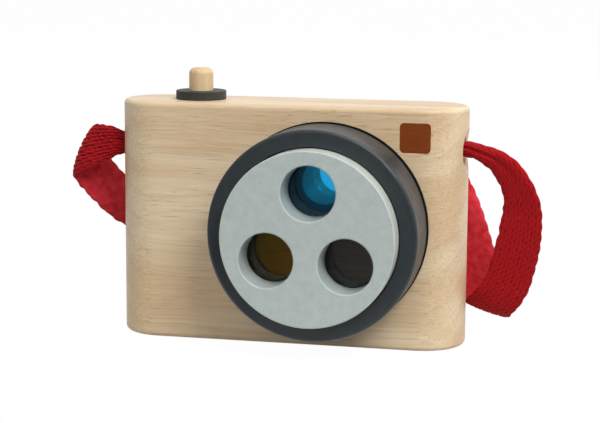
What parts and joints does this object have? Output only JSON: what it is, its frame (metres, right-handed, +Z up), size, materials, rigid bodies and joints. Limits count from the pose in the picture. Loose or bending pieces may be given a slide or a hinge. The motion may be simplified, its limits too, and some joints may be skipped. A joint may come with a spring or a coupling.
{
  "type": "toy camera",
  "caption": "Wooden toy camera: block body with rounded ends, turning lens drum with tinted windows, sprung shutter button, sight tunnel and short webbing strap.",
  "frame": {"origin": "middle of the body's flat underside, on the surface it stands on", "axes": "+X to the right in the front view, -Y out of the front along the lens axis, +Z up"},
  "size_m": [0.1588, 0.0721, 0.0883],
  "materials": {
    "body_wood": "sanded, clear oiled rubberwood",
    "button_wood": "sanded dowel",
    "flash_wood": "dark brown stained inlay",
    "drum_paint": "satin slate grey paint on turned wood",
    "disc_paint": "satin pale blue-grey paint on turned wood",
    "collar_paint": "satin slate grey paint on turned wood",
    "blue_acrylic": "clear tinted acrylic",
    "yellow_acrylic": "clear tinted acrylic",
    "grey_acrylic": "clear tinted acrylic",
    "clear_acrylic": "clear acrylic",
    "steel": "zinc plated",
    "felt": "black pressed felt",
    "webbing": "ribbed red cotton webbing"
  },
  "bodies": {
    "camera": {"body_block": "body_wood", "flash_panel": "flash_wood", "viewfinder_pane": "clear_acrylic", "lens_screw": "steel", "lens_washer": "steel", "lens_felt": "felt", "button_collar": "collar_paint", "button_spring": "steel", "strap": "webbing", "strap_pins": "button_wood"},
    "lens": {"lens_drum": "drum_paint", "lens_disc": "disc_paint", "filter_blue": "blue_acrylic", "filter_yellow": "yellow_acrylic", "filter_grey": "grey_acrylic"},
    "button": {"shutter_button": "button_wood"}
  },
  "joints": [
    {"name": "lens_turn", "type": "hinge", "parent": "camera", "child": "lens", "pos_m": [0.0135, -0.0145, 0.0395], "axis": [0, -1, 0], "continuous": true},
    {"name": "button_press", "type": "slide", "parent": "camera", "child": "button", "axis": [0, 0, -1], "range_m": [0, 0.004], "stiffness_N_per_m": 250, "springref_m": -0.004, "deforming": ["button_spring"]}
  ]
}
